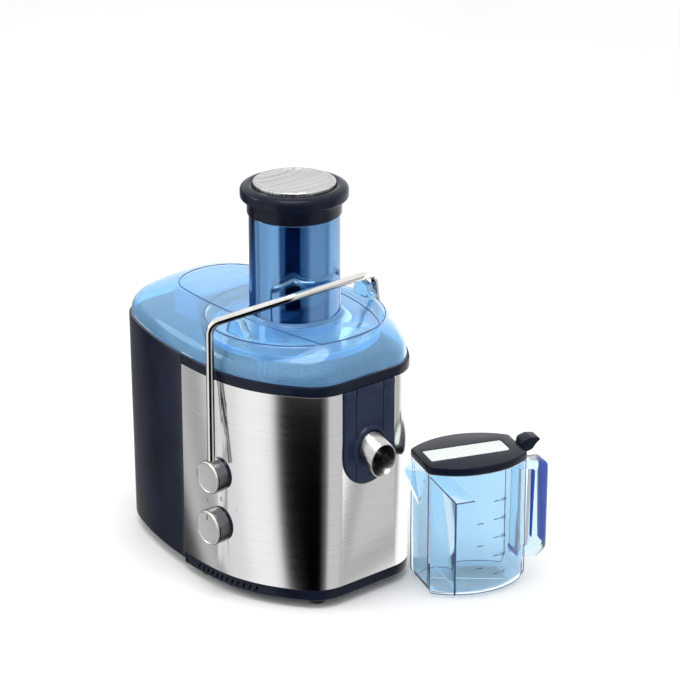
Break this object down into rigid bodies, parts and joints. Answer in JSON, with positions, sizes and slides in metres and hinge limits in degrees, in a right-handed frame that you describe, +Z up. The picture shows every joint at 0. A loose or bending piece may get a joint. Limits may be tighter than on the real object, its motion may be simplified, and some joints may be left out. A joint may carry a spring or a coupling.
{
  "type": "centrifugal juicer",
  "caption": "Upright centrifugal juicer with a wide feed chute and pusher, a steel locking arm, a pulp bin at one end, and a clear juice jug standing by the spout.",
  "frame": {"origin": "centre of the whole assembly's bounding box, on the table", "axes": "+X runs from the pulp bin to the juice spout, -Y is the side with the speed knob, +Z is up"},
  "size_m": [0.3616, 0.273, 0.371],
  "materials": {
    "steel": "fine vertical brushing",
    "polished": "polished",
    "black": "glossy near-black",
    "navy": "glossy dark navy",
    "clear_blue": "translucent blue polycarbonate",
    "deep_blue": "dark translucent blue polycarbonate",
    "rubber": "matt",
    "copper": "enamelled copper",
    "iron": "stacked laminations",
    "brass": "plain",
    "pale": "pale satin insert",
    "carbon": "pressed carbon"
  },
  "bodies": {
    "base": {"base_pan": "black", "steel_wrap": "steel", "inner_housing": "black", "motor_deck": "black", "foot_front_left": "rubber", "foot_front_right": "rubber", "foot_rear_left": "rubber", "foot_rear_right": "rubber", "cord_gland": "rubber", "field_core": "iron", "field_coil_a": "copper", "field_coil_b": "copper", "carbon_brush_a": "carbon", "carbon_brush_b": "carbon", "brush_holder_a": "brass", "brush_holder_b": "brass", "motor_bracket_lower": "iron", "motor_bracket_upper": "iron", "bearing_lower": "polished", "bearing_upper": "polished", "seal_ring": "rubber", "speed_switch": "black", "safety_switch": "black", "juice_bowl": "black", "spout_apron": "navy", "spout_tube": "steel"},
    "rotor": {"motor_shaft": "polished", "armature_core": "iron", "armature_winding": "copper", "commutator": "copper", "cooling_fan": "navy", "drive_coupling": "navy", "basket_base": "navy", "basket_sieve": "polished", "basket_rim": "clear_blue", "cutter_disc": "polished"},
    "speed_control": {"speed_knob": "steel", "knob_collar": "black", "knob_spindle": "brass"},
    "locking_arm_assembly": {"locking_arm": "polished", "arm_cap_front": "steel", "arm_cap_rear": "steel", "arm_collar_front": "black", "arm_collar_rear": "black", "arm_pivot_front": "polished", "arm_pivot_rear": "polished"},
    "lid": {"juicer_lid": "clear_blue", "lid_catch_front": "clear_blue", "lid_catch_rear": "clear_blue", "pulp_guide": "clear_blue"},
    "pusher": {"pusher_tube": "deep_blue", "pusher_head": "black", "pusher_cap": "steel"},
    "bin": {"pulp_bin": "black"},
    "jug": {"jug_body": "clear_blue", "froth_separator": "clear_blue"},
    "jug_cover": {"jug_lid": "black", "jug_lid_insert": "pale", "thumb_lever": "black"}
  },
  "joints": [
    {"name": "arm_swing", "type": "hinge", "parent": "base", "child": "locking_arm_assembly", "pos_m": [0.0102, -0.02349, 0.118], "axis": [0, 1, 0], "range_deg": [0, 65]},
    {"name": "lid_lift", "type": "slide", "parent": "base", "child": "lid", "axis": [0, 0, 1], "range_m": [0, 0.0655]},
    {"name": "pusher_slide", "type": "slide", "parent": "lid", "child": "pusher", "axis": [0, 0, 1], "range_m": [0, 0.16]},
    {"name": "speed_turn", "type": "hinge", "parent": "base", "child": "speed_control", "pos_m": [0.0102, -0.02349, 0.069], "axis": [0, 1, 0], "range_deg": [-50, 50]},
    {"name": "basket_spin", "type": "hinge", "parent": "base", "child": "rotor", "pos_m": [0.0012, -0.02349, 0], "axis": [0, 0, 1], "continuous": true},
    {"name": "bin_slide", "type": "slide", "parent": "base", "child": "bin", "axis": [-1, 0, 0], "range_m": [0, 0.2]},
    {"name": "jug_slide", "type": "slide", "parent": "base", "child": "jug", "axis": [0, 1, 0], "range_m": [0, 0.15]},
    {"name": "jug_lid_hinge", "type": "hinge", "parent": "jug", "child": "jug_cover", "pos_m": [0.15754, 0.10982, 0.124], "axis": [-0.9323, 0.3616, 0], "range_deg": [0, 45]}
  ],
  "couplings": [
    {"joint": "lid_lift", "follows": "arm_swing", "m_per_rad": 0.0573}
  ]
}
